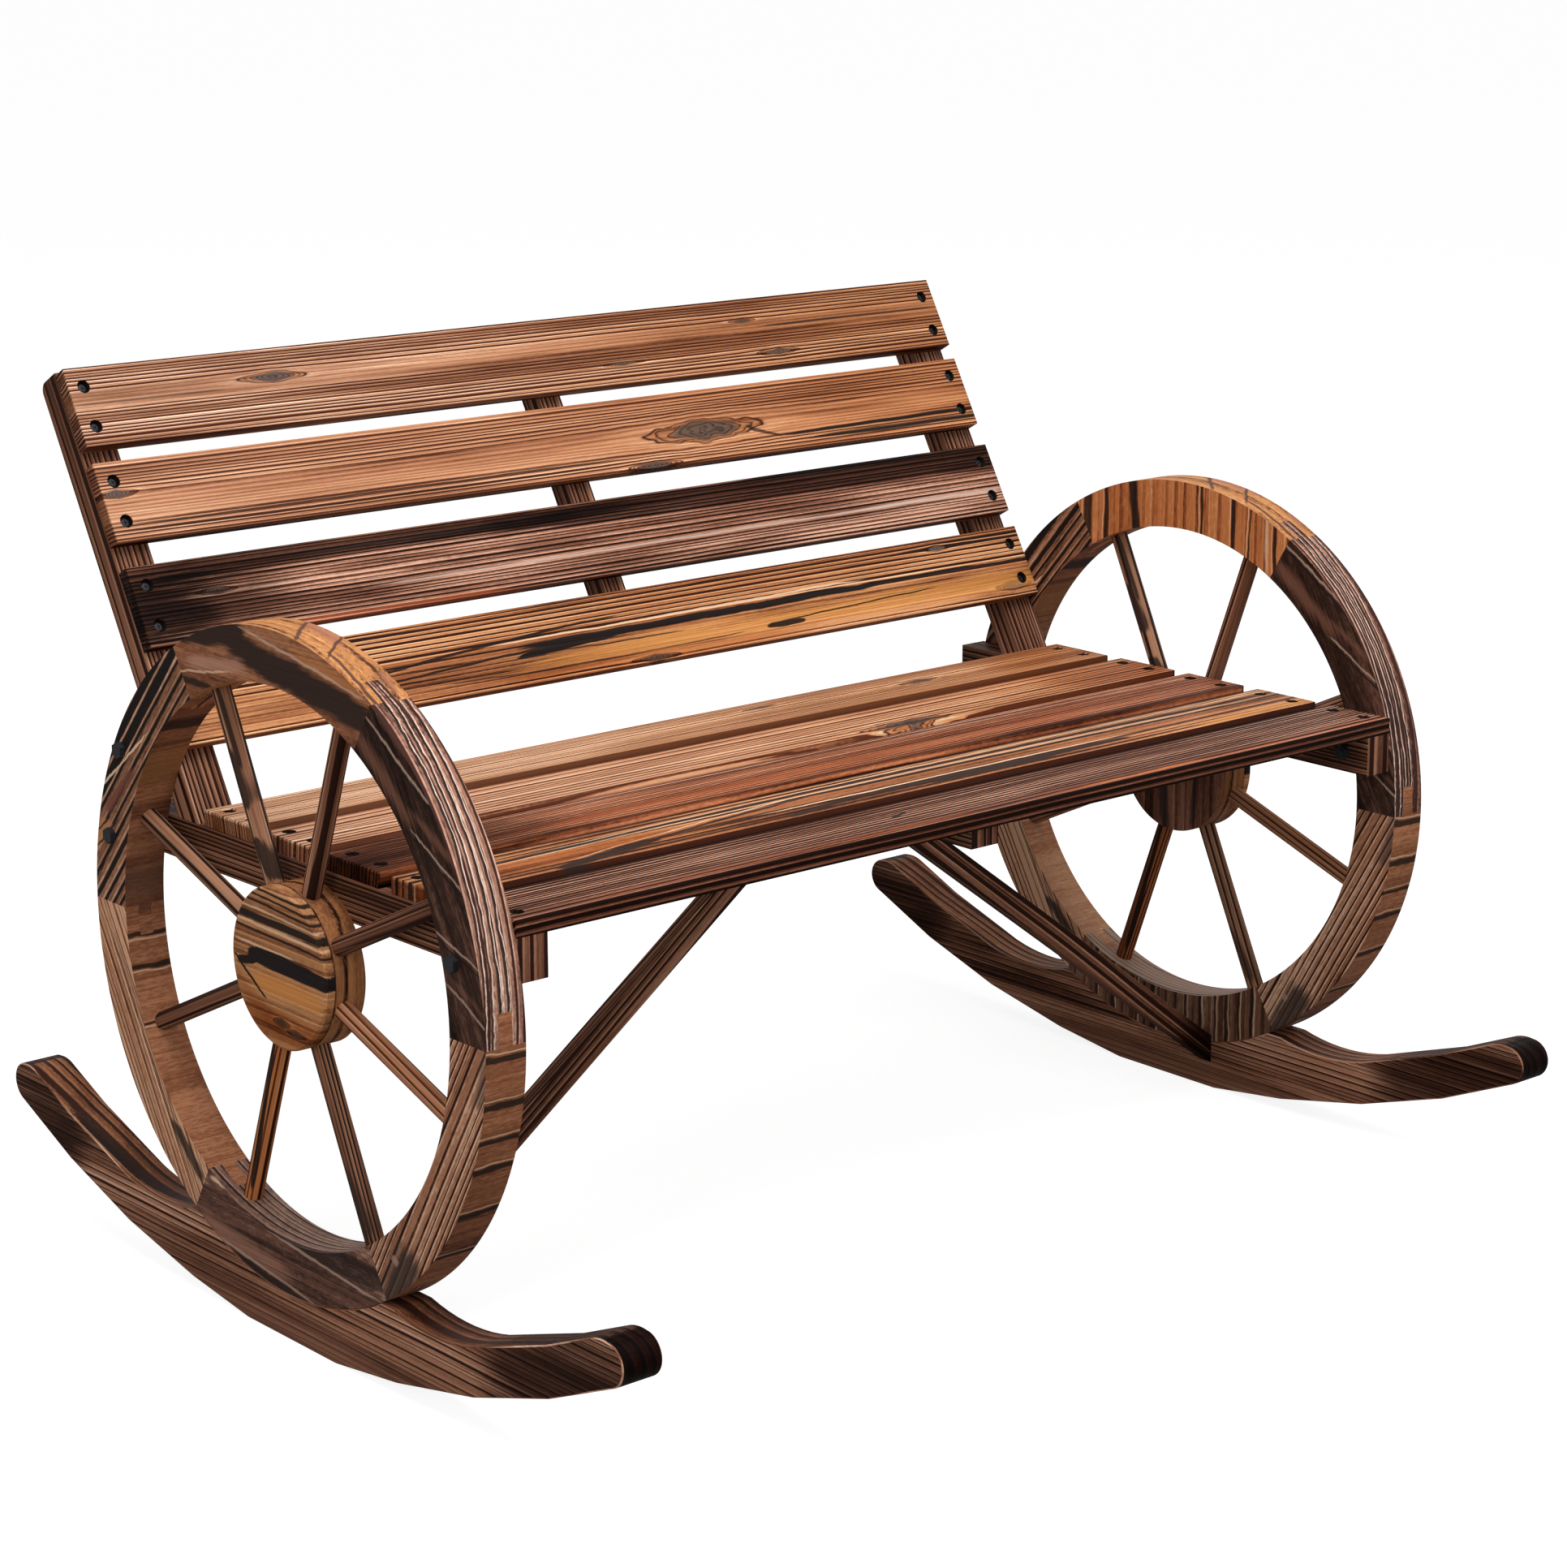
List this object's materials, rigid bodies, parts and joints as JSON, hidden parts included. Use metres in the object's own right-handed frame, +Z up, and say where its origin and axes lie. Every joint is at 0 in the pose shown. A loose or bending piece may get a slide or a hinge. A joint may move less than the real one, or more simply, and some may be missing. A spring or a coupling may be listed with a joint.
{
  "type": "rocking garden bench",
  "caption": "Slatted rocking garden bench of charred wood, with spoked wheels as its sides, each wheel bedded in a curved runner.",
  "frame": {"origin": "on the floor, half way between the two wheels and straight below their hubs", "axes": "+X across the bench to the sitter's left, +Y to the back, +Z up"},
  "size_m": [1.1352, 0.914, 0.791],
  "materials": {
    "wheel_rims": "charred and brushed softwood, satin, with raised dark grain",
    "spokes": "charred and brushed softwood, satin, with raised dark grain",
    "hubs": "charred and brushed softwood, satin, with raised dark grain",
    "runners": "charred and brushed softwood, satin, with raised dark grain",
    "seat_slats": "charred and brushed softwood, satin, with raised dark grain",
    "back_slats": "charred and brushed softwood, satin, with raised dark grain",
    "frame_bars": "charred and brushed softwood, satin, with raised dark grain",
    "bolts": "black coated steel, satin"
  },
  "bodies": {
    "root": {"back_slat_1": "back_slats", "back_slat_2": "back_slats", "back_slat_3": "back_slats", "back_slat_4": "back_slats", "bolt_nuts": "bolts", "centre_back_post": "frame_bars", "left_back_post": "frame_bars", "left_brace": "frame_bars", "left_felloe_bottom": "wheel_rims", "left_felloe_front_lower": "wheel_rims", "left_felloe_front_upper": "wheel_rims", "left_felloe_rear_lower": "wheel_rims", "left_felloe_rear_upper": "wheel_rims", "left_felloe_top": "wheel_rims", "left_hub_cap": "hubs", "left_hub_drum": "hubs", "left_rocker": "runners", "left_seat_rail": "frame_bars", "left_spoke_1": "spokes", "left_spoke_2": "spokes", "left_spoke_3": "spokes", "left_spoke_4": "spokes", "left_spoke_5": "spokes", "left_spoke_6": "spokes", "left_spoke_7": "spokes", "left_spoke_8": "spokes", "right_back_post": "frame_bars", "right_brace": "frame_bars", "right_felloe_bottom": "wheel_rims", "right_felloe_front_lower": "wheel_rims", "right_felloe_front_upper": "wheel_rims", "right_felloe_rear_lower": "wheel_rims", "right_felloe_rear_upper": "wheel_rims", "right_felloe_top": "wheel_rims", "right_hub_cap": "hubs", "right_hub_drum": "hubs", "right_rocker": "runners", "right_seat_rail": "frame_bars", "right_spoke_1": "spokes", "right_spoke_2": "spokes", "right_spoke_3": "spokes", "right_spoke_4": "spokes", "right_spoke_5": "spokes", "right_spoke_6": "spokes", "right_spoke_7": "spokes", "right_spoke_8": "spokes", "seat_cleat": "frame_bars", "seat_slat_1": "seat_slats", "seat_slat_2": "seat_slats", "seat_slat_3": "seat_slats", "seat_slat_4": "seat_slats", "seat_slat_5": "seat_slats", "wheel_bolts": "bolts"}
  },
  "joints": []
}
